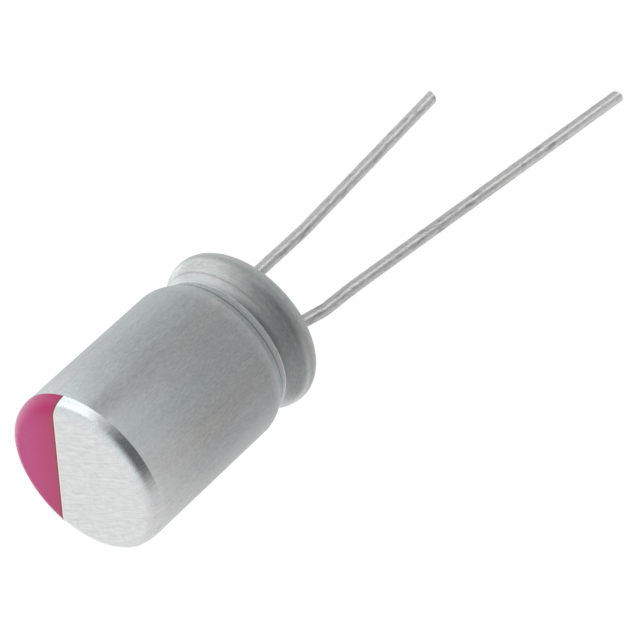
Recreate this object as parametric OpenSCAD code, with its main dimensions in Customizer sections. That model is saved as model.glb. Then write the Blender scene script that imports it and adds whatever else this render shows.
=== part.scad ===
// Solid polymer aluminium capacitor with two radial leads.
// The origin lies on the board, midway between the leads. The can stands along +Z with its
// head up, the leads point down, the anode lies towards -X and the cathode towards +X.

/* [Can] */
// Outer diameter of the can
can_d = 8; // [7:0.5:12]
// Length of the can from the board to the head
can_l = 12; // [10:0.5:20]
// Thickness of the drawn sheet, on the side and on the head
wall_t = 0.3; // [0.2:0.02:0.36]
// Inside radius of the corner between head and side
corner_r = 0.32; // [0.2:0.02:0.8]
// Slope of the drafted band below the corner
corner_draft = 12; // [0:1:20]
// Height of the drafted band
corner_band = 0.26; // [0.1:0.02:0.6]

/* [Bead and lip] */
// Height of the bead's deepest line above the board
bead_z = 2.15; // [2:0.05:2.6]
// Depth of the bead below the can's side
bead_depth = 0.54; // [0.4:0.02:0.7]
// Radius of the roller that pressed the bead
bead_r = 0.35; // [0.25:0.01:0.42]
// Slope of the flank between the shoulder and the bead
shoulder_slope = 31; // [24:1:38]
// Inside radius of the body's round shoulder
shoulder_r = 1.28; // [0.6:0.02:1.6]
// How far the lip stands out beyond the can's side
lip_out = 0.03; // [0:0.01:0.1]
// Inside radius of the flare, between the bead and the lip's widest line
flare_r = 0.64; // [0.4:0.02:1]
// Inside radius of the curl that turns the lip under the seal
curl_r = 0.54; // [0.4:0.02:0.66]
// Width of the flat land on which the lip sits on the board
lip_land = 0.28; // [0.15:0.01:0.4]

/* [Polarity mark] */
// Distance of the mark's straight edge from the can's axis
mark_x = 1.2; // [0.5:0.05:2]
// Turn of the mark about the can's axis, away from the line through the leads
mark_turn = -3; // [-10:0.5:10]
// Thickness of the printed ink
ink_t = 0.02; // [0.01:0.005:0.05]

/* [Seal] */
// Height of the seal above the body's shoulder
seal_over = 0.1; // [0.05:0.05:1.2]
// Height of the seal's outer face above the board
seal_face_z = 0.12; // [0.05:0.01:0.25]
// Clearance between the seal and the can
seal_fit = 0.02; // [0.01:0.005:0.03]

/* [Leads] */
// Distance between the leads where they leave the seal
lead_pitch = 3.5; // [2.5:0.1:4.5]
// Diameter of the lead wire
lead_d = 0.6; // [0.45:0.05:0.8]
// Radial clearance of a lead or boss in the seal
lead_fit = 0.02; // [0.01:0.005:0.03]
// Slant of the sheared lead ends
shear_slant = 18; // [0:1:40]

/* [Anode lead] */
// Length of anode wire below the board
anode_l = 22; // [12:0.5:30]
// Straight length below the board before the first bend
anode_exit_l = 0.3; // [0.2:0.05:1]
// Slope of the first run, next to the seal
anode_kick = 16; // [0:0.5:25]
// Length of the first run
anode_kick_l = 1.55; // [0.5:0.05:3]
// Slope of the second run
anode_ease = 4.5; // [0:0.5:15]
// Length of the second run
anode_ease_l = 1.4; // [0.5:0.05:3]
// Slope of the last run
anode_splay = 7.7; // [0:0.1:20]

/* [Cathode lead] */
// Length of cathode wire below the board
cathode_l = 17; // [10:0.5:25]
// Straight length below the board before the bend
cathode_exit_l = 5.8; // [0.5:0.1:8]
// Slope of the last run
cathode_splay = 3.7; // [0:0.1:20]

/* [Tabs] */
// Diameter of the boss that passes through the seal
boss_d = 1.2; // [0.9:0.05:1.5]
// Height of the weld between boss and wire above the seal's outer face
weld_rise = 0.6; // [0.4:0.05:1.2]
// Length of the boss above the seal
boss_over = 0.15; // [0.1:0.05:0.5]
// Length of the wedge between the boss and its flat blade
wedge_l = 0.7; // [0.4:0.05:1.2]
// Width of the blade
blade_w = 1.4; // [1:0.05:1.8]
// Thickness of the blade
blade_t = 0.25; // [0.15:0.01:0.35]
// Length of blade inside the winding
blade_l = 4.6; // [3:0.1:6.5]

/* [Winding] */
// Clearance between the taped winding and the can's side
winding_fit = 0.15; // [0.1:0.05:0.3]
// Gap between the winding and the head
head_gap = 0.3; // [0.2:0.05:0.6]
// Diameter of the hole left by the winding mandrel
mandrel_d = 1; // [0.6:0.1:1.5]
// Clearance of a blade in its slot between two turns
slot_fit = 0.02; // [0.01:0.005:0.03]
// Thickness of the closing tape
tape_t = 0.06; // [0.04:0.01:0.1]
// Bare length of the winding at each end of the tape
tape_inset = 0.5; // [0.2:0.1:1.5]

/* [Hidden] */
$fn = 96;
// Facets of each profile arc
arc_steps = 8;
// Extra length of cutting shapes, so that they pass right through
over = 1;
// Inside radii of the lead bends, sharp next to the seal and gentle further down
kick_bend_r = 1.5;
ease_bend_r = 2;
splay_bend_r = 6;
// How far the wire swells where a bend ends
bend_swell = 0.003;

can_r = can_d / 2;
lip_r = can_r + lip_out;
bead_floor_r = can_r - bead_depth;
shoulder_out_r = shoulder_r + wall_t;
shoulder_z = bead_z + flank_rise(shoulder_slope, bead_depth, shoulder_out_r + bead_r);
flare_out_r = flare_r + wall_t;
curl_out_r = curl_r + wall_t;
corner_out_r = corner_r + wall_t;
corner_x = can_r - corner_band * tan(corner_draft) - corner_out_r * cos(corner_draft);
corner_foot_z = can_l - corner_out_r * (1 - sin(corner_draft)) - corner_band;
mouth_r = lip_r - curl_out_r - lip_land;
flare_slope = flank(bead_z - curl_out_r, lip_r - bead_floor_r, flare_out_r + bead_r);

lead_x = lead_pitch / 2;
seal_top = shoulder_z + seal_over;
weld_z = seal_face_z + weld_rise;
wedge_z = seal_top + boss_over;
winding_z = wedge_z + wedge_l;
winding_top = can_l - wall_t - head_gap;
taped_r = can_r - wall_t - winding_fit;
winding_r = taped_r - tape_t;

// Each step of a wire is a straight run, the turn after it and the radius of that turn
anode_steps = [
    [weld_z + anode_exit_l, anode_kick, kick_bend_r],
    [anode_kick_l, anode_ease - anode_kick, ease_bend_r],
    [anode_ease_l, anode_splay - anode_ease, splay_bend_r]
];
cathode_steps = [
    [weld_z + cathode_exit_l, cathode_splay, splay_bend_r]
];

// Slope of a straight flank that touches a convex and a concave arc, whose tops lie
// height apart along the axis and depth apart across it, and whose radii add up to radii
function flank(height, depth, radii) =
    atan2(height, radii - depth) - acos(min(1, radii / norm([height, radii - depth])));

// Height between the tops of a convex and a concave arc that a flank of a known slope touches,
// where the tops lie depth apart across the axis and the radii add up to radii
function flank_rise(slope, depth, radii) = (depth + radii * (1 / cos(slope) - 1)) / tan(slope);

// Points of an arc about a centre, by the angle of the surface normal
function arc(centre, r, from, to) =
    [for (i = [0:arc_steps]) let (q = from + (to - from) * i / arc_steps) centre + r * [cos(q), sin(q)]];

// Points in the opposite order
function backwards(points) = [for (i = [len(points) - 1:-1:0]) points[i]];

// Section of the head's corner and its drafted band, at a depth below the outer surface
function corner_line(depth) = concat(
    arc([corner_x, can_l - corner_out_r], corner_out_r - depth, 90, corner_draft),
    [[can_r - depth, corner_foot_z - depth * tan(corner_draft / 2)]]
);

// Section of shoulder, bead, flare and curl, at a depth below the outer surface
function neck_line(depth) = concat(
    arc([can_r - shoulder_out_r, shoulder_z], shoulder_out_r - depth, 0, -shoulder_slope),
    arc([bead_floor_r + bead_r, bead_z], -bead_r - depth, -shoulder_slope, flare_slope),
    arc([lip_r - flare_out_r, curl_out_r], flare_out_r - depth, flare_slope, 0),
    arc([lip_r - curl_out_r, curl_out_r], curl_out_r - depth, 0, -90)
);

// Length of wire taken up by a list of steps
function steps_length(steps) =
    let (lengths = [for (s = steps) s[0] + abs(s[1]) * PI / 180 * s[2]])
    lengths * [for (s = steps) 1];

// A bend that starts straight down at the origin and turns towards +X, or -X if negative
module wire_bend(angle, r) {
    translate([sign(angle) * r, 0, 0])
        rotate([90, 0, 0])
            rotate_extrude(angle = abs(angle), start = angle > 0 ? 180 : -abs(angle))
                translate([r, 0])
                    circle(d = lead_d);
}

// A straight run down from the origin
module wire_run(length) {
    translate([0, 0, -length])
        cylinder(d = lead_d, h = length);
}

// The last run, with its end sheared at a slant
module wire_end(length) {
    difference() {
        wire_run(length);
        translate([0, 0, lead_d / 2 * tan(shear_slant) - length])
            rotate([0, shear_slant, 0])
                translate([-lead_d, -lead_d, -2 * lead_d])
                    cube([2 * lead_d, 2 * lead_d, 2 * lead_d]);
    }
}

// A wire from the origin downwards, through the steps from number i on, then a last run
module wire(steps, last_run, i = 0) {
    if (i < len(steps)) {
        run = steps[i][0];
        angle = steps[i][1];
        r = steps[i][2];
        wire_run(run);
        if (angle != 0) {
            translate([0, 0, -run])
                wire_bend(angle, r);
        }
        translate([sign(angle) * r * (1 - cos(angle)), 0, -run - r * sin(abs(angle))])
            rotate([0, -angle, 0]) {
                sphere(d = lead_d + 2 * bend_swell);
                wire(steps, last_run, i + 1);
            }
    } else {
        wire_end(last_run);
    }
}

// A wire welded to a boss at +X, of a length counted from the board
module lead(steps, length) {
    translate([lead_x, 0, weld_z])
        wire(steps, length + weld_z - steps_length(steps));
}

// A round boss that is pressed flat into a blade, at +X
module tab() {
    translate([lead_x, 0, weld_z])
        cylinder(d = boss_d, h = wedge_z - weld_z);
    translate([lead_x, 0, wedge_z])
        intersection() {
            cylinder(d = boss_d, h = wedge_l);
            rotate([90, 0, 0])
                linear_extrude(boss_d, center = true)
                    polygon([
                        [-boss_d / 2, 0],
                        [boss_d / 2, 0],
                        [blade_t / 2, wedge_l],
                        [-blade_t / 2, wedge_l]
                    ]);
        }
    translate([lead_x - blade_t / 2, -blade_w / 2, winding_z])
        cube([blade_t, blade_w, blade_l]);
}

// Stepped hole of the seal for one boss and its wire, at +X
module lead_hole() {
    translate([lead_x, 0, seal_face_z - over])
        cylinder(d = lead_d + 2 * lead_fit, h = seal_top - seal_face_z + 2 * over);
    translate([lead_x, 0, weld_z])
        cylinder(d = boss_d + 2 * lead_fit, h = seal_top - weld_z + over);
}

// Slot of the winding for one blade, at +X
module blade_slot() {
    translate([lead_x - blade_t / 2 - slot_fit, -blade_w / 2 - slot_fit, winding_z - over])
        cube([blade_t + 2 * slot_fit, blade_w + 2 * slot_fit, blade_l + over + slot_fit]);
}

// Places a shape on both sides, as it is and mirrored
module both_sides() {
    children();
    mirror([1, 0, 0])
        children();
}

// Drawn aluminium shell with its bead and its curled lip
module can() {
    color("#b4b8b8")
        rotate_extrude()
            polygon(concat(
                [[0, can_l]],
                corner_line(0),
                neck_line(0),
                [[mouth_r, 0], [mouth_r, wall_t]],
                backwards(neck_line(wall_t)),
                backwards(corner_line(wall_t)),
                [[0, can_l - wall_t]]
            ));
}

// Ink on the cathode side of the head, down to the foot of its corner
module polarity_mark() {
    color("#c84687")
        intersection() {
            rotate_extrude()
                polygon(concat(
                    [[0, can_l]],
                    corner_line(0),
                    backwards(corner_line(-ink_t)),
                    [[0, can_l + ink_t]]
                ));
            rotate([0, 0, mark_turn])
                translate([mark_x, -can_d, 0])
                    cube([can_d, 2 * can_d, 2 * can_l]);
        }
}

// Rubber bung that the bead and the lip clamp
module rubber_seal() {
    depth = wall_t + seal_fit;
    color("#2b2c2e")
        difference() {
            rotate_extrude()
                polygon(concat(
                    [[0, seal_top], [can_r - depth, seal_top]],
                    neck_line(depth),
                    [[mouth_r - seal_fit, depth], [mouth_r - seal_fit, seal_face_z], [0, seal_face_z]]
                ));
            both_sides()
                lead_hole();
        }
}

// Longer tinned wire, bent outwards
module anode_lead() {
    color("#b9bcbc")
        mirror([1, 0, 0])
            lead(anode_steps, anode_l);
}

// Shorter tinned wire, nearly straight
module cathode_lead() {
    color("#b9bcbc")
        lead(cathode_steps, cathode_l);
}

// Aluminium tab between the anode wire and the anode foil
module anode_tab() {
    color("#c9cbca")
        mirror([1, 0, 0])
            tab();
}

// Aluminium tab between the cathode wire and the cathode foil
module cathode_tab() {
    color("#c9cbca")
        tab();
}

// Rolled foils and separators, as one solid
module wound_element() {
    color("#6d665c")
        difference() {
            translate([0, 0, winding_z])
                cylinder(r = winding_r, h = winding_top - winding_z);
            translate([0, 0, winding_z - over])
                cylinder(d = mandrel_d, h = winding_top - winding_z + 2 * over);
            both_sides()
                blade_slot();
        }
}

// One turn of tape that keeps the winding closed
module winding_tape() {
    color("#c79a3b")
        translate([0, 0, winding_z + tape_inset])
            difference() {
                cylinder(r = taped_r, h = winding_top - winding_z - 2 * tape_inset);
                translate([0, 0, -over])
                    cylinder(r = winding_r, h = winding_top - winding_z + 2 * over);
            }
}

can();
polarity_mark();
rubber_seal();
anode_lead();
cathode_lead();
anode_tab();
cathode_tab();
wound_element();
winding_tape();
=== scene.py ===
import bpy
import numpy as np
from mathutils import Matrix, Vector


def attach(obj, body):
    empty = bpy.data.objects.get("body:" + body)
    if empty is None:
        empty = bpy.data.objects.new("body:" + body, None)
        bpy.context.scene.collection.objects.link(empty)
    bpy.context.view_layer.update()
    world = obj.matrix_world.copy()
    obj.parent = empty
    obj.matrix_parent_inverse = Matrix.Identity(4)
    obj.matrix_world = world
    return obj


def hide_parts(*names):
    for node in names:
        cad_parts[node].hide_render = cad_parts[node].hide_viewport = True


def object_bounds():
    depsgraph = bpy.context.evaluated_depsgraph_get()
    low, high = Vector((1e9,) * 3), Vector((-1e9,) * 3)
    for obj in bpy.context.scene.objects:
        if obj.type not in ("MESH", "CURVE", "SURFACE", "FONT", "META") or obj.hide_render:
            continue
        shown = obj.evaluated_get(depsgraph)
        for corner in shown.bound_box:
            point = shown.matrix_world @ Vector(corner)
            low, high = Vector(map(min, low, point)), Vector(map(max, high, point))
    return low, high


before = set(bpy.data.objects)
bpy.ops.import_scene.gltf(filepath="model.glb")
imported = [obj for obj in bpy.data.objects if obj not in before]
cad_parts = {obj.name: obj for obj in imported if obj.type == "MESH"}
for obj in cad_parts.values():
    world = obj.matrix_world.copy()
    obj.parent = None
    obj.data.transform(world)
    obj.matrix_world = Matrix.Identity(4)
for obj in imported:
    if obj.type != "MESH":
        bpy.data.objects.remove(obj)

cad_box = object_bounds()

# Sizes of the part in millimetres, as in the part's source. MM turns them to metres.
MM = 0.001
CAN_R, CAN_L, WALL = 4.0, 12.0, 0.3
CORNER_R, CORNER_DRAFT, CORNER_BAND = 0.62, np.radians(12.0), 0.26
BEAD_Z, BEAD_DEPTH, BEAD_R = 2.15, 0.54, 0.35
SHOULDER_R, SHOULDER_SLOPE = 1.58, np.radians(31.0)
LIP_R, FLARE_R, CURL_R, LIP_LAND = 4.03, 0.94, 0.84, 0.28
MARK_X, MARK_TURN, INK_T = 1.2, np.radians(-3.0), 0.02
LEAD_X, LEAD_R, WELD_Z = 1.75, 0.3, 0.72
SHEAR_SLANT = np.radians(18.0)
ANODE_L, CATHODE_L = 22.0, 17.0

# Straight runs of each lead below the board, with the turn in degrees and the radius of the bend after each
ANODE_BENDS = ((0.3, 16.0, 1.5), (1.55, -11.5, 2.0), (1.4, 3.2, 6.0))
CATHODE_BENDS = ((5.8, 3.7, 6.0),)

# Where the head's flat ends, the foot of its corner, and the height where the side turns into the shoulder
CORNER_X = CAN_R - CORNER_BAND * np.tan(CORNER_DRAFT) - CORNER_R * np.cos(CORNER_DRAFT)
CORNER_FOOT_Z = CAN_L - CORNER_R * (1 - np.sin(CORNER_DRAFT)) - CORNER_BAND
SHOULDER_ACROSS = BEAD_DEPTH + (SHOULDER_R + BEAD_R) * (1 / np.cos(SHOULDER_SLOPE) - 1)
SHOULDER_Z = BEAD_Z + SHOULDER_ACROSS / np.tan(SHOULDER_SLOPE)

# Small marks of the forming tools on the can, in millimetres: the groove at the bead roller's upper edge,
# the ledge above it that dies away up the shoulder, the steep band at the roller's lower edge, which turns
# sharply into the bead, the taper with which the draw die let go below the corner, and the lip's round edge
ROLLER_HIGH, GROOVE_DEPTH, GROOVE_HALF = 2.41, 0.022, 0.036
LEDGE_Z, LEDGE_OUT, LEDGE_RUN, LEDGE_SOFT = 2.45, 0.05, 0.55, 0.015
ROLLER_LOW, ROLLER_TURN, HEEL_DEPTH, HEEL_SOFT = 1.42, 1.87, 0.048, 0.018
TAPER_Z, TAPER_DEPTH, TAPER_HALF = 11.18, 0.002, 0.05
LIP_EDGE_R = 0.06

# Shallow dips in the tinned wire: waves, as turns round it and millimetres along it, half their full depth,
# the sum of waves that gives the full depth, and the runs before they start and until they are full
DIP_WAVES = ((1, 2.3), (2, 1.1), (3, 0.55), (4, 0.9), (5, 0.3), (7, 0.2))
DIP_DEPTH, DIP_SUM, DIP_START, DIP_RUN = 0.004, 2.2, 0.6, 0.8
ANODE_SEED, CATHODE_SEED = 5, 8

# Cut end of a wire: the run over which it leans to the slant, the rounding of its rim, and its rings' sizes
LEAN_RUN, CUT_ROUND, CUT_POWER = 1.0, 0.02, 6
CUT_RINGS = np.array([1.0, 0.97, 0.9, 0.75, 0.5, 0.25])

# Points on the can's section before it is thinned, and the length and turning that a ring then takes
HEAD_STEPS, ARC_STEPS, BAND_STEPS, SIDE_STEPS, INSIDE_STEPS = 200, 300, 60, 1500, 30
OUTSIDE_RING, INSIDE_RING = (0.16, np.radians(3.5)), (0.6, np.radians(12.0))
POLE_R, CAN_COLUMNS = 0.1, 240
WIRE_RING, WIRE_COLUMNS = 0.08, 48

# The ink film: points on its outline, the middle that its rings shrink to, the rings' sizes, closer where
# the film turns down at its edge, how square that edge is, and the step by which its back skips rings
RIM_STEPS, OVER_STEPS, CHORD_STEPS = 60, 34, 40
INK_MIDDLE = np.array([2.6, 0.0])
INK_RINGS = np.concatenate([np.linspace(0, 0.96, 49)[1:], [0.975, 0.985, 0.992, 0.996, 0.9985]])
INK_POWER, BACK_SKIP = 60, 6

# Horizontal directions in the part's frame: towards the camera, towards its lower right, towards the side of
# the can where the crease's painted shade lies, and across the mark's chord
TO_CAMERA = np.array([-0.5736, -0.8192, 0.0])
TO_RIGHT = np.array([-0.8192, 0.5736, 0.0])
CREASE_SHADE_WAY = np.array([0.259, -0.966, 0.0])
MARK_WAY = np.array([np.cos(MARK_TURN), np.sin(MARK_TURN), 0.0])

# Turn of the head's rolling lines from X
ROLL_TURN = np.radians(27.6)

# Edges of the can's finishes and of its painted shade and highlight, in millimetres: where each is none and
# where it is full. All are heights, but for the last two, which lie towards the crease shade and along
# MARK_WAY.
HEAD_EDGE, CORNER_EDGE = (11.80, 11.98), (11.35, 11.60)
NECK_EDGE, CURL_EDGE = (2.60, 2.40), (1.50, 1.20)
# The next four are painted shade in the groove, a painted highlight at the roller's heel, painted shade in
# the crease and on the lip
GROOVE_SHADE = ((2.40, 2.43), (2.60, 2.49))
HEEL_HIGHLIGHT = ((1.84, 1.88), (2.02, 1.95))
CREASE_SHADE = ((1.56, 1.61), (1.68, 1.65))
LIP_SHADE = ((0.62, 0.80), (1.15, 0.90))
CREASE_SHADE_SIDE_EDGE = (1.6, 3.2)
BARE_EDGE = (MARK_X - 0.09, MARK_X - 0.05)

# The tent as metal sees it: brightness of the cloth in front, behind and above, and of the table's three
# rings in front of the part and behind it. A turn gives the cosines between which front becomes back, and
# the table's counts from its own azimuth. Edges are elevations in degrees, each from none to full, but for
# the last, which is a cosine from the right.
CLOTH_FRONT, CLOTH_BACK, CLOTH_TOP, CLOTH_TURN = 0.72, 0.89, 0.875, (0.3, -1.0)
TABLE_TONES, TABLE_TURN, TABLE_WAY = ((0.375, 0.66), (0.345, 0.68), (0.82, 0.92)), (0.8, -1.2), 12
MIDDLE_EDGE, RIM_EDGES = (-40, -30), ((-22.8, -18.8), (-9.0, -11.0))
CLOTH_EDGE, TOP_EDGE = (-15, -10), (0, 45)
WARM_EDGE = (0.40, 0.72)

# Patches of the tent, by azimuth from the camera and by elevation, with their brightness: a shadow on the
# table, the dark opening for the camera, and the bright soft box at the left
TENT_PATCHES = (
    (((-66, -52), (-28, -40)), ((-24, -21.5), (-15, -17)), 0.42),
    (((-38, 2), (76, 38)), ((-20, -15), (70, 4)), 0.15),
    (((-178, -165), (-36, -50)), ((-16, -6), (30, 14)), 1.4),
)

# The flag: its span of azimuths, radius and height of its near and its far edge in millimetres, the edges of
# its gauze by radius and by cosine from an azimuth, its brightness by radius, and its greys by azimuth
FLAG_SPAN, FLAG_COLUMNS = (-152, 158), 90
FLAG_NEAR, FLAG_FAR = (8.0, 9.2), (52.0, -11.26)
GAUZE_EDGES, GAUZE_WAY, GAUZE_END = ((8.0, 12.5), (52.0, 43.0)), 2, (-0.87, -0.55)
FLAG_REACH, FLAG_GLOW = (12.0, 22.0), (1.18, 0.79)
FLAG_TONES = ((-160, 0.80), (-110, 0.88), (-80, 0.80), (-50, 0.47), (-20, 0.21), (10, 0.12), (40, 0.12),
              (70, 0.22), (100, 0.34), (134, 0.45), (158, 0.47))

# Floor: half its width in metres, its gap under the lead tips in millimetres, and its glow to the camera.
# MATT_LIGHT is the tent's light on matt surfaces.
FLOOR_HALF, FLOOR_GAP, FLOOR_GLOW, MATT_LIGHT = 3.0, 0.02, 0.66, 0.75

# Lamps, in metres and watts: their distance, the soft box's direction, and width, height and power of each.
# The wire lights also have an azimuth in degrees and a rise over the level.
LAMP_REACH = 0.55
SOFTBOX_WAY, SOFTBOX = np.array([0.481, -0.874, 0.06]), (0.30, 0.42, 0.7)
WIRE_LIGHTS = (("wire_strip", -14, 0.05, (0.24, 0.12, 1.10)), ("wire_fill", 70, 0.12, (1.00, 0.30, 2.00)))

# Camera fitted to the photograph: its axes, its place in millimetres from the origin, and its lens
CAMERA_RIGHT = (-0.791171, 0.062013, -0.608443)
CAMERA_UP = (0.381284, -0.727842, -0.569973)
CAMERA_BACK = (-0.478196, -0.682935, 0.552202)
CAMERA_SPOT = np.array([-87.67, -121.61, 96.63])
SENSOR, LENS, NEAREST, FURTHEST = 36.0, 225.0, 0.01, 100.0


def level_way(degrees):
    """Horizontal direction at an azimuth from the camera, towards its lower right."""
    return np.cos(np.radians(degrees)) * TO_CAMERA + np.sin(np.radians(degrees)) * TO_RIGHT


def linear(hex_colour):
    """Linear RGBA of an sRGB hex colour: c / 12.92 near black, else ((c + 0.055) / 1.055) ** 2.4."""
    srgb = np.array([int(hex_colour[i:i + 2], 16) for i in (1, 3, 5)]) / 255
    return (*np.where(srgb <= 0.04045, srgb / 12.92, ((srgb + 0.055) / 1.055) ** 2.4), 1.0)


def add(tree, kind, inputs=(), **settings):
    """Adds a node with its settings, and sets or links each of its inputs."""
    made = tree.nodes.new(kind)
    for name, value in settings.items():
        setattr(made, name, value)
    for socket, value in dict(inputs).items():
        if isinstance(value, bpy.types.NodeSocket):
            tree.links.new(value, made.inputs[socket])
        else:
            made.inputs[socket].default_value = value
    return made


def finish_of(name):
    """A new material and its empty node tree."""
    material = bpy.data.materials.new(name)
    material.use_nodes = True
    material.node_tree.nodes.clear()
    return material, material.node_tree


def place_mm(tree):
    """The place on a piece, in millimetres."""
    place = add(tree, "ShaderNodeTexCoord").outputs["Object"]
    return add(tree, "ShaderNodeVectorMath", {0: place, "Scale": 1 / MM}, operation="SCALE").outputs[0]


def zone(tree, *limits, most=1.0):
    """Share from 0 to most that lies within limits: the product of a smooth step at every edge.

    A limit is a value and its edges. An edge says where the share is none and where it is full.
    """
    share = most
    for value, *edges in limits:
        for none, full in edges:
            step = add(tree, "ShaderNodeMapRange", {0: value, 1: none, 2: full},
                       interpolation_type="SMOOTHSTEP").outputs[0]
            share = add(tree, "ShaderNodeMath", {0: share, 1: step}, operation="MULTIPLY").outputs[0]
    return share


def grain(tree, place, across, detail, stretch=(1, 1, 1), span=(0, 1), **more):
    """Pattern of grains, so many millimetres across and longer along an axis whose stretch is below 1.

    Noise values from the first of span to the last become 0 to 1.
    """
    laid = add(tree, "ShaderNodeMapping", {0: place, 3: stretch}).outputs[0]
    noise = add(tree, "ShaderNodeTexNoise", {"Vector": laid, "Scale": 1 / across, "Detail": detail, **more})
    return add(tree, "ShaderNodeMapRange", {0: noise.outputs[0], 1: span[0], 2: span[1]}).outputs[0]


def place_new(name, data):
    """A new object in the scene."""
    thing = bpy.data.objects.new(name, data)
    bpy.context.scene.collection.objects.link(thing)
    return thing


def set_axes(thing, right, up, back, spot):
    """Puts a lamp or the camera at a spot in metres, with its own axes along three directions."""
    thing.matrix_world = Matrix([[right[i], up[i], back[i], spot[i]] for i in range(3)] + [[0, 0, 0, 1]])


def closed_skin(name, rings, first, last, material):
    """A closed mesh from a grid of rings: quads between neighbouring rings, a fan from a pole at each end.

    Row i of the grid follows row i - 1 along the shape, columns run anticlockwise seen against that way.
    """
    rows, columns = rings.shape[:2]
    points = np.concatenate([rings.reshape(-1, 3), [first], [last]]) * MM
    row, column = np.mgrid[0:rows - 1, 0:columns]
    right = (column + 1) % columns
    quads = np.stack([row * columns + column, (row + 1) * columns + column,
                      (row + 1) * columns + right, row * columns + right], -1).reshape(-1, 4)
    around = np.arange(columns)
    beside = (around + 1) % columns
    end = (rows - 1) * columns
    first_fan = np.stack([np.full(columns, rows * columns), around, beside], -1)
    last_fan = np.stack([end + around, np.full(columns, rows * columns + 1), end + beside], -1)
    mesh = bpy.data.meshes.new(name)
    mesh.from_pydata(points.tolist(), [], quads.tolist() + first_fan.tolist() + last_fan.tolist())
    mesh.shade_smooth()
    mesh.materials.append(material)
    return place_new(name, mesh)


def arc(centre, radius, start, stop, steps):
    """Points on a circle about a centre, by the surface normal's angle from start to stop in radians."""
    angle = np.linspace(start, stop, steps)[:, None]
    return np.array(centre) + radius * np.hstack([np.cos(angle), np.sin(angle)])


def flank(height, depth, radii):
    """Slope of the line that touches a convex and a concave arc whose tops lie height and depth apart.

    It is atan2(height, radii - depth) - acos(radii / distance of the centres), radii being their sum.
    """
    across = radii - depth
    return np.arctan2(height, across) - np.arccos(min(1.0, radii / np.hypot(height, across)))


def s_curve(value, middle, half):
    """Rise from 0 to 1 about a middle: (1 + tanh((value - middle) / half)) / 2."""
    return (1 + np.tanh((value - middle) / half)) / 2


def tool_marks(line):
    """Outer line with the marks of the bead roller and the draw die, as changes of its radius.

    The groove is a bell curve in height, exp(-((z - z0) / half) ** 2). The ledge stands out by the square of
    (z0 + run - z) / run, above an S-curve at z0. The band deepens evenly to its turn and runs out evenly to
    the bead, each corner rounded as soft * log(1 + exp((z - z0) / soft)). The taper is an S-curve.
    """
    radius, height = line.T
    groove = GROOVE_DEPTH * np.exp(-((height - ROLLER_HIGH) / GROOVE_HALF) ** 2)
    ledge = LEDGE_OUT * np.clip((LEDGE_Z + LEDGE_RUN - height) / LEDGE_RUN, 0, 1) ** 2
    ledge *= s_curve(height, LEDGE_Z, LEDGE_SOFT)
    past_low, past_turn, past_bead = (HEEL_SOFT * np.logaddexp(0, (height - start) / HEEL_SOFT)
                                      for start in (ROLLER_LOW, ROLLER_TURN, BEAD_Z))
    fall, rise = HEEL_DEPTH / (ROLLER_TURN - ROLLER_LOW), HEEL_DEPTH / (BEAD_Z - ROLLER_TURN)
    heel = fall * past_low - (fall + rise) * past_turn + rise * past_bead
    taper = TAPER_DEPTH * s_curve(height, TAPER_Z, TAPER_HALF)
    return np.stack([radius - groove - heel + ledge - taper, height], -1)


def straight(start, end, steps):
    """Points between two ends of a straight run, both left out."""
    share = np.linspace(0, 1, steps + 2)[1:-1, None]
    return np.array(start) * (1 - share) + np.array(end) * share


def neck_line(depth, steps):
    """Section of the neck at a depth below its surface: shoulder, bead, flare, curl and their tangents."""
    floor_r = CAN_R - BEAD_DEPTH
    out = flank(BEAD_Z - CURL_R, LIP_R - floor_r, FLARE_R + BEAD_R)
    shoulder = arc([CAN_R - SHOULDER_R, SHOULDER_Z], SHOULDER_R - depth, 0, -SHOULDER_SLOPE, steps)
    bead = arc([floor_r + BEAD_R, BEAD_Z], -BEAD_R - depth, -SHOULDER_SLOPE, out, steps)
    flare = arc([LIP_R - FLARE_R, CURL_R], FLARE_R - depth, out, 0, steps)
    curl = arc([LIP_R - CURL_R, CURL_R], CURL_R - depth, 0, -np.pi / 2, steps)
    return np.concatenate([shoulder, straight(shoulder[-1], bead[0], steps), bead,
                           straight(bead[-1], flare[0], steps), flare, curl[1:]])


def crowd(line, run, bend):
    """Fewer points on a fine line, even in length / run + turning / bend, so they crowd where it turns."""
    step = np.diff(line, axis=0)
    heading = np.unwrap(np.arctan2(step[:, 1], step[:, 0]))
    turning = np.abs(np.gradient(heading))
    measure = np.concatenate([[0], np.cumsum(np.hypot(step[:, 0], step[:, 1]) / run + turning / bend)])
    place = np.linspace(0, measure[-1], int(measure[-1]))
    return np.stack([np.interp(place, measure, line[:, 0]), np.interp(place, measure, line[:, 1])], -1)


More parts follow.
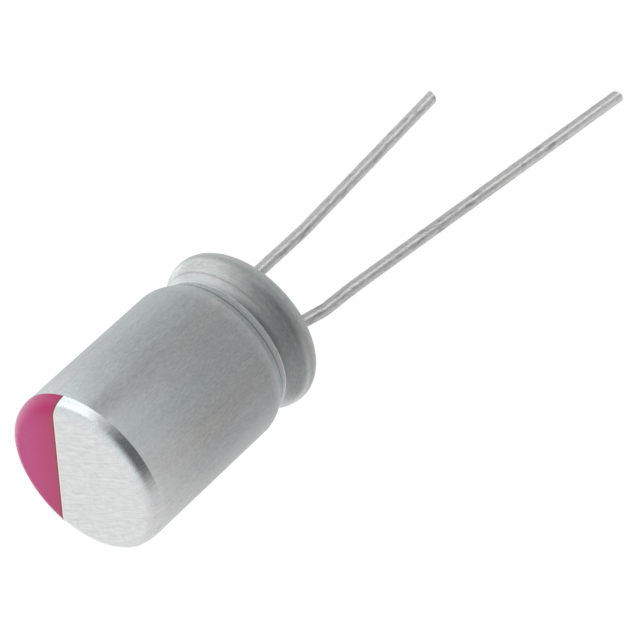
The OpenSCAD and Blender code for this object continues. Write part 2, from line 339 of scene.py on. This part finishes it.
def can_line():
    """The can's section: from the head's middle down the outside, round the lip's edge and up the inside."""
    mouth = LIP_R - CURL_R - LIP_LAND
    corner_centre = [CORNER_X, CAN_L - CORNER_R]
    corner = arc(corner_centre, CORNER_R, np.pi / 2, CORNER_DRAFT, ARC_STEPS)
    foot = np.array([[CAN_R, CORNER_FOOT_Z]])
    outside = np.concatenate([
        straight([POLE_R, CAN_L], corner[0], HEAD_STEPS), corner, straight(corner[-1], foot[0], BAND_STEPS),
        foot, straight(foot[0], [CAN_R, SHOULDER_Z], SIDE_STEPS), neck_line(0, ARC_STEPS),
    ])
    lower_edge = arc([mouth + LIP_EDGE_R, LIP_EDGE_R], LIP_EDGE_R, -np.pi / 2, -np.pi, INSIDE_STEPS)
    upper_edge = arc([mouth + LIP_EDGE_R, WALL - LIP_EDGE_R], LIP_EDGE_R, np.pi, np.pi / 2, INSIDE_STEPS)
    inner_corner = arc(corner_centre, CORNER_R - WALL, CORNER_DRAFT, np.pi / 2, INSIDE_STEPS)
    inner_drop = (CAN_R - WALL - inner_corner[0, 0]) / np.tan(CORNER_DRAFT)
    inner_foot = [[CAN_R - WALL, inner_corner[0, 1] - inner_drop]]
    inside = np.concatenate([
        lower_edge, upper_edge, neck_line(WALL, INSIDE_STEPS)[::-1], inner_foot, inner_corner,
        straight(inner_corner[-1], [POLE_R, CAN_L - WALL], INSIDE_STEPS),
    ])
    return np.concatenate([crowd(tool_marks(outside), *OUTSIDE_RING), crowd(inside, *INSIDE_RING)])


def make_can(material):
    """The can: its section turned about Z, (r cos a, r sin a, z) for each section point and angle a."""
    line = can_line()
    angle = np.linspace(0, 2 * np.pi, CAN_COLUMNS, endpoint=False)
    rings = np.stack([np.outer(line[:, 0], np.cos(angle)), np.outer(line[:, 0], np.sin(angle)),
                      np.repeat(line[:, 1:], len(angle), 1)], -1)
    return closed_skin("can_shell", rings, [0, 0, CAN_L], [0, 0, CAN_L - WALL], material)


def head_point(x, y, lift):
    """Point of the head at a lift above the metal, from a flat plan in which the corner is rolled out.

    Up to the corner the plan is the head itself. Beyond it, the plan's radius is the length of surface that
    the corner takes: first round its arc, where it turns by length / radius, then down its drafted band.
    """
    reach, turn = np.hypot(x, y), np.arctan2(y, x)
    past = np.maximum(reach - CORNER_X, 0)
    bend = np.minimum(past / CORNER_R, np.pi / 2 - CORNER_DRAFT)
    drop = past - CORNER_R * bend
    radius = np.minimum(reach, CORNER_X) + (CORNER_R + lift) * np.sin(bend) + drop * np.sin(CORNER_DRAFT)
    height = CAN_L - CORNER_R + (CORNER_R + lift) * np.cos(bend) - drop * np.cos(CORNER_DRAFT)
    return np.stack([radius * np.cos(turn), radius * np.sin(turn), height], -1)


def make_mark(material):
    """The printed mark: a thin film whose outline is the straight chord and the foot of the head's corner.

    Ring k is the outline shrunk to the share k about a middle point, in the rolled-out plan of the head. The
    film's top rises to the ink's thickness as the square root of 1 - k ** power, so its edge is round. Its
    back lies on the can.
    """
    foot = CORNER_X + CORNER_R * (np.pi / 2 - CORNER_DRAFT) + CORNER_BAND / np.cos(CORNER_DRAFT)
    turn = np.linspace(0, np.arccos(MARK_X / CAN_R), RIM_STEPS)
    rim = foot * np.stack([np.cos(turn), np.sin(turn)], -1)
    reach = np.linspace(foot, CORNER_X, OVER_STEPS)[1:]
    over_corner = head_point(reach, 0 * reach, 0)
    side_turn = np.arccos(MARK_X / over_corner[:, 0])
    over_corner = reach[:, None] * np.stack([np.cos(side_turn), np.sin(side_turn)], -1)
    chord_y = np.linspace(over_corner[-1, 1], 0, CHORD_STEPS)[1:]
    chord = np.stack([np.full_like(chord_y, MARK_X), chord_y], -1)
    half = np.concatenate([rim, over_corner, chord])
    outline = np.concatenate([half, half[-2:0:-1] * [1, -1]])
    back = INK_RINGS[::-BACK_SKIP]
    share = np.concatenate([INK_RINGS, [1.0], back])
    lift = np.concatenate([INK_T * np.sqrt(1 - INK_RINGS ** INK_POWER), np.zeros(1 + len(back))])
    plan = INK_MIDDLE + share[:, None, None] * (outline - INK_MIDDLE)
    turned = np.array([[np.cos(MARK_TURN), np.sin(MARK_TURN)], [-np.sin(MARK_TURN), np.cos(MARK_TURN)]])
    plan, middle = plan @ turned, INK_MIDDLE @ turned
    rings = head_point(plan[..., 0], plan[..., 1], lift[:, None])
    pole = head_point(middle[0], middle[1], 0)
    return closed_skin("polarity_ink", rings, pole + [0, 0, INK_T], pole, material)


def wire_dips(along, angle, seed):
    """Depth of the dips in a wire: a sum of sin(turns * angle + phase) * sin(2 pi along / wave + shift)."""
    rng = np.random.default_rng(seed)
    waves = np.zeros((len(along), len(angle)))
    for turns, wave in DIP_WAVES:
        phase, shift = rng.uniform(0, 2 * np.pi, 2)
        waves += np.sin(turns * angle + phase)[None] * np.sin(2 * np.pi * along / wave + shift)[:, None]
    dips = DIP_DEPTH * np.clip(1 + waves / DIP_SUM, 0, 2)
    return dips * np.clip((along - WELD_Z - DIP_START) / DIP_RUN, 0, 1)[:, None]


def make_lead(name, side, bends, length, seed, material):
    """A lead: a circle carried along a wire whose slope is piecewise straight in its length.

    The centreline is the running sum of (sin slope, -cos slope). The circle's radius dips by a few
    thousandths of a millimetre, and the last rings lean over to the slanted cut and close it.
    """
    knots, slopes = [WELD_Z], [0.0]
    for run, degrees, bend_r in bends:
        turn = np.radians(degrees)
        knots += [knots[-1] + run, knots[-1] + run + abs(turn) * bend_r]
        slopes += [slopes[-1], slopes[-1] + turn]
    total = length + WELD_Z
    along = np.linspace(0, total, int(total / WIRE_RING))
    slope = np.interp(along, knots, slopes)
    step = np.gradient(along)
    line_x = LEAD_X + np.cumsum(np.sin(slope) * step) - np.sin(slope[0]) * step[0]
    line_z = WELD_Z - np.cumsum(np.cos(slope) * step) + np.cos(slope[0]) * step[0]
    angle = np.linspace(0, 2 * np.pi, WIRE_COLUMNS, endpoint=False)
    radius = LEAD_R - wire_dips(along, angle, seed)
    slant = LEAD_R * np.tan(SHEAR_SLANT)
    lean = np.clip((along - total + LEAN_RUN) / LEAN_RUN, 0, 1)[:, None]
    slide = np.concatenate([lean * slant * (np.cos(angle) - 1),
                            slant * (np.cos(angle) * CUT_RINGS[:, None] - 1)])
    radius = np.concatenate([radius, radius[-1] * CUT_RINGS[:, None]])
    sink = -CUT_ROUND * np.concatenate([lean[:, 0], 1 - np.sqrt(1 - CUT_RINGS ** CUT_POWER)])
    # The rings of the cut stay at the end of the centreline
    rows = np.minimum(np.arange(len(along) + len(CUT_RINGS)), len(along) - 1)
    out = np.stack([np.cos(slope), np.sin(slope)], -1)[rows][:, None]
    way = np.stack([np.sin(slope), -np.cos(slope)], -1)[rows][:, None]
    centre = np.stack([line_x, line_z], -1)[rows][:, None]
    flat = centre + out * (radius * np.cos(angle))[..., None] + way * (slide + sink[:, None])[..., None]
    rings = np.stack([side * flat[..., 0], side * radius * np.sin(angle), flat[..., 1]], -1)
    tip = centre[-1, 0] - way[-1, 0] * slant
    piece = closed_skin(name, rings, [side * LEAD_X, 0, WELD_Z], [side * tip[0], 0, tip[1]], material)
    # For the material: the place on the wire as if straight, in millimetres, and the way it was drawn
    unbent = np.stack([radius * np.cos(angle), radius * np.sin(angle), along[rows][:, None] + slide], -1)
    unbent = np.concatenate([unbent.reshape(-1, 3), [[0, 0, 0]], [[0, 0, total]]])
    drawn = np.broadcast_to(np.stack([side * way[..., 0], 0 * way[..., 0], way[..., 1]], -1), rings.shape)
    drawn = np.concatenate([drawn.reshape(-1, 3), [[0, 0, -1]], [[0, 0, -1]]])
    for label, vectors in (("straight_wire", unbent), ("drawing_way", drawn)):
        laid = piece.data.attributes.new(label, "FLOAT_VECTOR", "POINT")
        laid.data.foreach_set("vector", vectors.astype(np.float32).ravel())
    return piece


def drawn_aluminium():
    """Deep-drawn aluminium, bare and satin: a soft mirror that smears across its fine working lines.

    On the side the lines run along the draw. On the head they are the sheet's rolling lines, long and
    slightly wavy. In the neck the bead roller left them round the can and rubbed the surface dull.
    """
    material, tree = finish_of("drawn_aluminium")
    place = place_mm(tree)
    height = add(tree, "ShaderNodeSeparateXYZ", {0: place}).outputs["Z"]
    # How far a place lies towards the side of the crease's painted shade, and across the mark's chord
    crease_shade_side, past_chord = (
        add(tree, "ShaderNodeVectorMath", {0: place, 1: way}, operation="DOT_PRODUCT").outputs["Value"]
        for way in (CREASE_SHADE_WAY, MARK_WAY))
    on_head, off_head = zone(tree, (height, HEAD_EDGE)), zone(tree, (height, HEAD_EDGE[::-1]))
    in_neck, on_curl = zone(tree, (height, NECK_EDGE)), zone(tree, (height, CURL_EDGE))
    # Draw streaks about 0.06 mm wide and 0.23 mm long; the real ones are finer than the picture can show
    streak = grain(tree, place, 0.06, 2, (1, 1, 0.26), (0.14, 0.86), Roughness=0.6)
    # Long soft streaks about 0.3 mm wide and 2 mm long, and tints about 1.6 mm wide, cool against warm
    cloud = grain(tree, place, 0.3, 2, (1, 1, 0.15))
    tint = grain(tree, place, 1.6, 1, (1, 1, 0.15), (0.1, 0.9))
    # Rolling lines about 0.12 mm apart and 0.8 mm long
    turned = add(tree, "ShaderNodeMapping", {0: place, 2: (0, 0, -ROLL_TURN)}).outputs[0]
    roll = grain(tree, turned, 0.12, 2, (0.15, 1, 0.15), Distortion=0.4)
    # Turning lines of the bead roller, about 0.05 mm apart and 0.25 mm long
    turning = grain(tree, place, 0.05, 3, (0.2, 0.2, 1), (0.2, 0.8))
    lines = add(tree, "ShaderNodeMix", {0: on_head, 2: streak, 3: roll}).outputs[0]
    lines = add(tree, "ShaderNodeMapRange", {0: lines, 1: 0.2, 2: 0.8}).outputs[0]
    skin, cloudy, tinted, rolled = (
        add(tree, "ShaderNodeMix", {0: pattern, 6: linear(dark), 7: linear(light)},
            data_type="RGBA").outputs[2]
        for pattern, dark, light in ((lines, "#E3E5E5", "#FFFFFF"), (cloud, "#E6E6E6", "#FFFFFF"),
                                     (tint, "#FFFFFC", "#EFFAFD"), (turning, "#D0D6D5", "#F9FFFE")))
    coats = (
        (1.0, cloudy, "MULTIPLY"),
        (off_head, tinted, "MULTIPLY"),
        (in_neck, rolled, "MIX"),
        # Painted shade makes the lip's outer edge a little darker
        (zone(tree, (height, *LIP_SHADE)), linear("#EDEDED"), "MULTIPLY"),
        # Painted shade in the crease of the roller's lower edge, 0.08 mm wide, on one side of the can only
        (zone(tree, (height, *CREASE_SHADE), (crease_shade_side, CREASE_SHADE_SIDE_EDGE), most=0.5), linear("#B4AEAE"), "MIX"),
        # A painted highlight, a light line about 0.12 mm wide where the roller's heel turned
        (zone(tree, (height, *HEEL_HIGHLIGHT)), linear("#F2FAF9"), "MIX"),
        # Painted shade in the roller's groove and on the ledge's edge, about 0.13 mm wide
        (zone(tree, (height, *GROOVE_SHADE)), linear("#8A8D8D"), "MIX"),
        # Along the mark's chord the print left a bare bright edge, 0.07 mm wide, with a breath of ink
        (zone(tree, (past_chord, BARE_EDGE), (height, HEAD_EDGE)), linear("#FFF2F3"), "MIX"),
    )
    for share, tone, blend in coats:
        skin = add(tree, "ShaderNodeMix", {0: share, 6: skin, 7: tone}, data_type="RGBA",
                   blend_type=blend).outputs[2]
    rough = add(tree, "ShaderNodeMapRange", {0: lines, 3: 0.19, 4: 0.26}).outputs[0]
    for share, rubbed in ((in_neck, 0.29), (on_curl, 0.30)):
        rough = add(tree, "ShaderNodeMix", {0: share, 2: rough, 3: rubbed}).outputs[0]
    bump = add(tree, "ShaderNodeBump", {"Strength": 0.06, "Distance": 0.002 * MM,
                                        "Height": lines}).outputs[0]
    # On the corner the drawn sheet's rolling lines were stretched open
    on_corner = zone(tree, (height, CORNER_EDGE, HEAD_EDGE[::-1]))
    opened = add(tree, "ShaderNodeMath", {0: roll, 1: on_corner}, operation="MULTIPLY").outputs[0]
    bump = add(tree, "ShaderNodeBump", {"Strength": 0.4, "Distance": 0.02 * MM, "Height": opened,
                                        "Normal": bump}).outputs[0]
    # The mirror smears round the side and the bead, across the rolling lines on the head, and up the lip
    around = add(tree, "ShaderNodeVectorMath", {0: (0, 0, 1), 1: place},
                 operation="CROSS_PRODUCT").outputs[0]
    smear = add(tree, "ShaderNodeVectorMath", {0: around}, operation="NORMALIZE").outputs[0]
    for share, way in ((on_head, (-np.sin(ROLL_TURN), np.cos(ROLL_TURN), 0)), (on_curl, (0, 0, 1))):
        smear = add(tree, "ShaderNodeMix", {0: share, 4: smear, 5: way}, data_type="VECTOR").outputs[1]
    shader = add(tree, "ShaderNodeBsdfPrincipled", {
        "Base Color": skin, "Metallic": 1.0, "Roughness": rough, "Anisotropic": 0.8, "Tangent": smear,
        "Normal": bump})
    add(tree, "ShaderNodeOutputMaterial", {0: shader.outputs[0]})
    return material


def printed_ink():
    """Screen-printed magenta lacquer on bare metal: even colour, faintly mottled, with a low satin gloss."""
    material, tree = finish_of("printed_ink")
    place = place_mm(tree)
    mottle, specks = grain(tree, place, 0.5, 4), grain(tree, place, 0.06, 2)
    colour = add(tree, "ShaderNodeMix", {0: mottle, 6: linear("#C63680"), 7: linear("#D4488E")},
                 data_type="RGBA").outputs[2]
    past_chord = add(tree, "ShaderNodeVectorMath", {0: place, 1: MARK_WAY},
                     operation="DOT_PRODUCT").outputs["Value"]
    across = add(tree, "ShaderNodeSeparateXYZ", {0: place}).outputs["Y"]
    # The film is redder towards the chord, deeper over the corner towards -Y, and duller along the chord
    for value, none, full, most, tone in ((past_chord, MARK_X + 1.8, MARK_X + 0.2, 0.9, "#C52C6C"),
                                          (across, -1.6, -3.6, 0.6, "#C0146A"),
                                          (past_chord, MARK_X + 0.30, MARK_X + 0.05, 0.6, "#B63C62"),
                                          (past_chord, MARK_X + 0.10, MARK_X + 0.06, 1.0, "#A04058")):
        share = zone(tree, (value, (none, full)), most=most)
        colour = add(tree, "ShaderNodeMix", {0: share, 6: colour, 7: linear(tone)},
                     data_type="RGBA").outputs[2]
    bump = add(tree, "ShaderNodeBump", {"Strength": 0.1, "Distance": 0.002 * MM,
                                        "Height": specks}).outputs[0]
    shader = add(tree, "ShaderNodeBsdfPrincipled", {"Base Color": colour, "IOR": 1.45, "Roughness": 0.28,
                                                    "Normal": bump})
    add(tree, "ShaderNodeOutputMaterial", {0: shader.outputs[0]})
    return material


def tinned_wire():
    """Hot-tinned steel wire: dull silver with a frosty grain, and small grey patches of rubbed tin."""
    material, tree = finish_of("tinned_wire")
    place = add(tree, "ShaderNodeAttribute", attribute_name="straight_wire").outputs["Vector"]
    # Frost about 0.1 mm across and 0.25 mm long, rubbed patches about 0.25 mm across and 0.8 mm long
    frost = grain(tree, place, 0.1, 3, (1, 1, 0.4))
    worn = zone(tree, (grain(tree, place, 0.25, 4, (1, 1, 0.3)), (0.52, 0.72)))
    colour = add(tree, "ShaderNodeMix", {0: frost, 6: linear("#C8C9C9"), 7: linear("#FFFFFE")},
                 data_type="RGBA").outputs[2]
    # The shear left the bare steel core on the cut end
    flat = add(tree, "ShaderNodeVectorMath", {0: place, 1: (1, 1, 0)}, operation="MULTIPLY").outputs[0]
    reach = add(tree, "ShaderNodeVectorMath", {0: flat}, operation="LENGTH").outputs["Value"]
    cut = add(tree, "ShaderNodeMapRange", {0: reach, 1: 0.97 * LEAD_R, 2: 0.93 * LEAD_R}).outputs[0]
    for share, tone in ((worn, "#C0C1C1"), (cut, "#A3A4A4")):
        colour = add(tree, "ShaderNodeMix", {0: share, 6: colour, 7: linear(tone)},
                     data_type="RGBA").outputs[2]
    rough = add(tree, "ShaderNodeMapRange", {0: frost, 3: 0.56, 4: 0.64}).outputs[0]
    bump = add(tree, "ShaderNodeBump", {"Strength": 0.35, "Distance": 0.006 * MM,
                                        "Height": frost}).outputs[0]
    smear = add(tree, "ShaderNodeAttribute", attribute_name="drawing_way").outputs["Vector"]
    shader = add(tree, "ShaderNodeBsdfPrincipled", {
        "Base Color": colour, "Metallic": 1.0, "Roughness": rough, "Anisotropic": 0.7, "Tangent": smear,
        "Normal": bump})
    add(tree, "ShaderNodeOutputMaterial", {0: shader.outputs[0]})
    return material


def moulded_rubber():
    """Moulded butyl rubber: near black, matt, with a fine grain."""
    material, tree = finish_of("moulded_rubber")
    place = place_mm(tree)
    pores, bloom = grain(tree, place, 0.12, 4), grain(tree, place, 1.2, 2)
    colour = add(tree, "ShaderNodeMix", {0: bloom, 6: linear("#242527"), 7: linear("#37383A")},
                 data_type="RGBA").outputs[2]
    rough = add(tree, "ShaderNodeMapRange", {0: pores, 3: 0.55, 4: 0.75}).outputs[0]
    bump = add(tree, "ShaderNodeBump", {"Strength": 0.4, "Distance": 0.01 * MM,
                                        "Height": pores}).outputs[0]
    shader = add(tree, "ShaderNodeBsdfPrincipled", {"Base Color": colour, "Roughness": rough,
                                                    "Normal": bump})
    add(tree, "ShaderNodeOutputMaterial", {0: shader.outputs[0]})
    return material


def pressed_tab():
    """Pressed aluminium tab: bright, with coining lines along its length."""
    material, tree = finish_of("pressed_aluminium_tab")
    line = grain(tree, place_mm(tree), 0.08, 2, (1, 1, 0.05))
    colour = add(tree, "ShaderNodeMix", {0: line, 6: linear("#CFD1D0"), 7: linear("#F0F1F0")},
                 data_type="RGBA").outputs[2]
    rough = add(tree, "ShaderNodeMapRange", {0: line, 3: 0.2, 4: 0.36}).outputs[0]
    shader = add(tree, "ShaderNodeBsdfPrincipled", {"Base Color": colour, "Metallic": 1.0,
                                                    "Roughness": rough})
    add(tree, "ShaderNodeOutputMaterial", {0: shader.outputs[0]})
    return material


def wound_foil():
    """Rolled foils and separators soaked with polymer: close rings on the ends, dark and dull."""
    material, tree = finish_of("wound_foil")
    # Turns about 0.25 mm apart; the wave repeats in about a third of its scale
    turns = add(tree, "ShaderNodeTexWave", {"Vector": place_mm(tree), "Scale": 1 / 0.25 / 3,
                                            "Distortion": 0.6},
                wave_type="RINGS", rings_direction="Z").outputs[0]
    colour = add(tree, "ShaderNodeMix", {0: turns, 6: linear("#4E4943"), 7: linear("#877F73")},
                 data_type="RGBA").outputs[2]
    shader = add(tree, "ShaderNodeBsdfPrincipled", {"Base Color": colour, "Roughness": 0.7})
    add(tree, "ShaderNodeOutputMaterial", {0: shader.outputs[0]})
    return material


def closing_tape():
    """Amber film tape: smooth and glossy, a little uneven in tone where it lies over the turns."""
    material, tree = finish_of("closing_tape")
    uneven = grain(tree, place_mm(tree), 0.8, 3)
    colour = add(tree, "ShaderNodeMix", {0: uneven, 6: linear("#B98A2E"), 7: linear("#D2A748")},
                 data_type="RGBA").outputs[2]
    shader = add(tree, "ShaderNodeBsdfPrincipled", {"Base Color": colour, "Roughness": 0.3})
    add(tree, "ShaderNodeOutputMaterial", {0: shader.outputs[0]})
    return material


def azimuth_of(tree, way):
    """Azimuth of a direction from the camera, towards its lower right, in degrees."""
    front, right = (
        add(tree, "ShaderNodeVectorMath", {0: way, 1: axis}, operation="DOT_PRODUCT").outputs["Value"]
        for axis in (TO_CAMERA, TO_RIGHT))
    turn = add(tree, "ShaderNodeMath", {0: right, 1: front}, operation="ARCTAN2").outputs[0]
    return add(tree, "ShaderNodeMath", {0: turn}, operation="DEGREES").outputs[0]


def tent_seen_by_metal(tree, way):
    """Brightness of the white tent and the table in a direction, by azimuth from the camera and elevation.

    The cloth is white, with a bright soft box at the left and a dark opening for the camera. The table is
    darker near the part, in painted shade, and pale further out.
    """
    azimuth = azimuth_of(tree, way)
    up = add(tree, "ShaderNodeSeparateXYZ", {0: way}).outputs["Z"]
    elevation = add(tree, "ShaderNodeMath", {0: up}, operation="ARCSINE").outputs[0]
    elevation = add(tree, "ShaderNodeMath", {0: elevation}, operation="DEGREES").outputs[0]
    front, shaded = (
        add(tree, "ShaderNodeVectorMath", {0: way, 1: axis}, operation="DOT_PRODUCT").outputs["Value"]
        for axis in (TO_CAMERA, level_way(TABLE_WAY)))
    cloth = add(tree, "ShaderNodeMapRange", {0: front, 1: CLOTH_TURN[0], 2: CLOTH_TURN[1], 3: CLOTH_FRONT,
                                             4: CLOTH_BACK})
    cloth = add(tree, "ShaderNodeMix", {0: zone(tree, (elevation, TOP_EDGE)), 2: cloth.outputs[0],
                                        3: CLOTH_TOP}).outputs[0]
    seen, middle, rim = (
        add(tree, "ShaderNodeMapRange", {0: shaded, 1: TABLE_TURN[0], 2: TABLE_TURN[1], 3: near, 4: far},
            interpolation_type="SMOOTHSTEP").outputs[0]
        for near, far in TABLE_TONES)
    layers = [(zone(tree, (elevation, MIDDLE_EDGE)), middle), (zone(tree, (elevation, *RIM_EDGES)), rim),
              (zone(tree, (elevation, CLOTH_EDGE)), cloth)]
    layers += [(zone(tree, (azimuth, *sides), (elevation, *ends)), tone)
               for sides, ends, tone in TENT_PATCHES]
    for share, tone in layers:
        seen = add(tree, "ShaderNodeMix", {0: share, 2: seen, 3: tone}).outputs[0]
    return seen


def tent_colour(tree, way):
    """Colour of that light: white, and a little warm at the right."""
    right = add(tree, "ShaderNodeVectorMath", {0: way, 1: TO_RIGHT},
                operation="DOT_PRODUCT").outputs["Value"]
    return add(tree, "ShaderNodeMix", {0: zone(tree, (right, WARM_EDGE)), 6: linear("#FFFFFF"),
                                       7: linear("#FFF8F8")}, data_type="RGBA").outputs[2]


def make_floor():
    """Pale floor under the lead tips, white to the camera, softly shaded. Metal sees the tent's table."""
    level = cad_box[0].z - FLOOR_GAP * MM
    corners = np.array([[-1, -1], [1, -1], [1, 1], [-1, 1]]) * FLOOR_HALF
    mesh = bpy.data.meshes.new("floor")
    mesh.from_pydata([(x, y, level) for x, y in corners], [], [(0, 1, 2, 3)])
    material, tree = finish_of("pale_floor")
    ray = add(tree, "ShaderNodeLightPath")
    place = place_mm(tree)
    # Paper, very faintly clouded
    tone = add(tree, "ShaderNodeMix", {0: grain(tree, place, 2.5, 2), 6: linear("#B9B9B9"),
                                       7: linear("#BBBBBB")}, data_type="RGBA").outputs[2]
    plain = add(tree, "ShaderNodeBsdfDiffuse", {"Color": tone}).outputs[0]
    glow = add(tree, "ShaderNodeEmission", {"Color": linear("#FFFFFF"), "Strength": FLOOR_GLOW}).outputs[0]
    lit = add(tree, "ShaderNodeAddShader", {0: plain, 1: glow}).outputs[0]
    way = add(tree, "ShaderNodeVectorMath", {0: place}, operation="NORMALIZE").outputs[0]
    seen = add(tree, "ShaderNodeEmission", {"Color": tent_colour(tree, way),
                                            "Strength": tent_seen_by_metal(tree, way)}).outputs[0]
    for kind, shown in (("Is Camera Ray", lit), ("Is Glossy Ray", seen)):
        plain = add(tree, "ShaderNodeMixShader", {0: ray.outputs[kind], 1: plain, 2: shown}).outputs[0]
    add(tree, "ShaderNodeOutputMaterial", {0: plain})
    mesh.materials.append(material)
    floor = place_new("floor", mesh)


def hang_tent():
    """White light tent: white to the camera, even light on matt surfaces, its pattern to metal."""
    world = bpy.data.worlds.new("light_tent")
    bpy.context.scene.world = world
    world.use_nodes = True
    tree = world.node_tree
    tree.nodes.clear()
    way = add(tree, "ShaderNodeTexCoord").outputs["Generated"]
    ray = add(tree, "ShaderNodeLightPath").outputs
    plain = add(tree, "ShaderNodeMix", {0: ray["Is Camera Ray"], 2: MATT_LIGHT, 3: 1.0}).outputs[0]
    strength = add(tree, "ShaderNodeMix", {0: ray["Is Glossy Ray"], 2: plain,
                                           3: tent_seen_by_metal(tree, way)}).outputs[0]
    colour = add(tree, "ShaderNodeMix", {0: ray["Is Glossy Ray"], 6: linear("#FFFFFF"),
                                         7: tent_colour(tree, way)}, data_type="RGBA").outputs[2]
    light = add(tree, "ShaderNodeBackground", {"Color": colour, "Strength": strength})
    add(tree, "ShaderNodeOutputWorld", {0: light.outputs[0]})


def hang_lamp(name, spot, size):
    """A rectangular lamp of a width, a height and a power at a spot, its light towards the origin."""
    lamp = bpy.data.lights.new(name, "AREA")
    lamp.shape = "RECTANGLE"
    lamp.size, lamp.size_y, lamp.energy = size
    light = place_new(name, lamp)
    back = spot / np.linalg.norm(spot)
    right = np.cross([0, 0, 1.0], back)
    right /= np.linalg.norm(right)
    set_axes(light, right, np.cross(back, right), back, spot)
    return light


def hang_softbox():
    """One soft box at the left of the camera, a little above the part."""
    hang_lamp("softbox", SOFTBOX_WAY * LAMP_REACH, SOFTBOX).visible_glossy = False


def hang_wire_lights(wires):
    """Two lights for the leads alone: a narrow strip that draws a light line along each, and a wide fill."""
    lit = bpy.data.collections.new("lit_by_wire_lights")
    for wire in wires:
        lit.objects.link(wire)
    for name, azimuth, rise, size in WIRE_LIGHTS:
        light = hang_lamp(name, (level_way(azimuth) + [0, 0, rise]) * LAMP_REACH, size)
        light.visible_camera = False
        light.light_linking.receiver_collection = lit


def hang_flag():
    """A grey flag round the front of the neck, seen by mirror-like metal alone, and that only in the neck.
    Its glow is a painted reflection, dark in front and at the right, where it stands in for shade.

    A patch of a cone about the part's axis: point (r cos a, r sin a, z), azimuth a from the camera, r and z
    along a straight line from its near upper edge to its far lower edge.
    """
    ways = np.array([level_way(degrees) for degrees in np.linspace(*FLAG_SPAN, FLAG_COLUMNS)])
    points = np.stack([radius * ways + [0, 0, height] for radius, height in (FLAG_NEAR, FLAG_FAR)], 1)
    first = np.arange(0, 2 * (len(points) - 1), 2)
    mesh = bpy.data.meshes.new("flag")
    mesh.from_pydata((points.reshape(-1, 3) * MM).tolist(), [],
                     np.stack([first, first + 2, first + 3, first + 1], -1).tolist())
    material, tree = finish_of("painted_shade_flag")
    level = add(tree, "ShaderNodeVectorMath", {0: place_mm(tree), 1: (1, 1, 0)},
                operation="MULTIPLY").outputs[0]
    reach = add(tree, "ShaderNodeVectorMath", {0: level}, operation="LENGTH").outputs["Value"]
    way = add(tree, "ShaderNodeVectorMath", {0: level}, operation="NORMALIZE").outputs[0]
    turn = add(tree, "ShaderNodeMapRange", {0: azimuth_of(tree, way), 1: -180, 2: 180}).outputs[0]
    tone = add(tree, "ShaderNodeValToRGB", {0: turn})
    tone.color_ramp.interpolation = "EASE"
    # A new ramp has two stops already
    for stop, (degrees, grey) in enumerate(FLAG_TONES):
        mark = tone.color_ramp.elements[stop] if stop < 2 else tone.color_ramp.elements.new(1.0)
        mark.position, mark.color = degrees / 360 + 0.5, (grey, grey, grey, 1.0)
    strength = add(tree, "ShaderNodeMapRange", {0: reach, 1: FLAG_REACH[0], 2: FLAG_REACH[1],
                                                3: FLAG_GLOW[0], 4: FLAG_GLOW[1]}).outputs[0]
    glow = add(tree, "ShaderNodeEmission", {"Color": tone.outputs[0], "Strength": strength}).outputs[0]
    # Its gauze is thin towards every edge
    facing = add(tree, "ShaderNodeVectorMath", {0: way, 1: level_way(GAUZE_WAY)},
                 operation="DOT_PRODUCT").outputs["Value"]
    gauze = add(tree, "ShaderNodeMixShader", {0: zone(tree, (reach, *GAUZE_EDGES), (facing, GAUZE_END)),
                                              1: add(tree, "ShaderNodeBsdfTransparent").outputs[0], 2: glow})
    add(tree, "ShaderNodeOutputMaterial", {0: gauze.outputs[0]})
    mesh.materials.append(material)
    flag = place_new("flag", mesh)
    flag.visible_camera = flag.visible_diffuse = flag.visible_shadow = flag.visible_transmission = False


def place_camera():
    """Camera at the photograph's angle: a long lens, rolled so that the part lies across the picture."""
    lens = bpy.data.cameras.new("camera")
    lens.sensor_width, lens.lens, lens.clip_start, lens.clip_end = SENSOR, LENS, NEAREST, FURTHEST
    camera = place_new("camera", lens)
    set_axes(camera, CAMERA_RIGHT, CAMERA_UP, CAMERA_BACK, CAMERA_SPOT * MM)
    bpy.context.scene.camera = camera


place_camera()
make_floor()
hang_tent()
hang_softbox()
hang_flag()
bpy.context.scene.view_settings.view_transform = "Standard"

wire = tinned_wire()
new_pieces = [
    (make_can(drawn_aluminium()), "can", "can_aluminium"),
    (make_mark(printed_ink()), "polarity_mark", "mark_ink"),
    (make_lead("anode_wire", -1, ANODE_BENDS, ANODE_L, ANODE_SEED, wire), "anode_lead", "tinned_wire"),
    (make_lead("cathode_wire", 1, CATHODE_BENDS, CATHODE_L, CATHODE_SEED, wire), "cathode_lead",
     "tinned_wire"),
]
for piece, cad_node, slot in new_pieces:
    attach(piece, "root")
    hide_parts(cad_node)

hang_wire_lights([piece for piece, cad_node, slot in new_pieces if slot == "tinned_wire"])

tab = pressed_tab()
for cad_node, material in (("rubber_seal", moulded_rubber()), ("anode_tab", tab), ("cathode_tab", tab),
                           ("wound_element", wound_foil()), ("winding_tape", closing_tape())):
    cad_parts[cad_node].data.materials.clear()
    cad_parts[cad_node].data.materials.append(material)
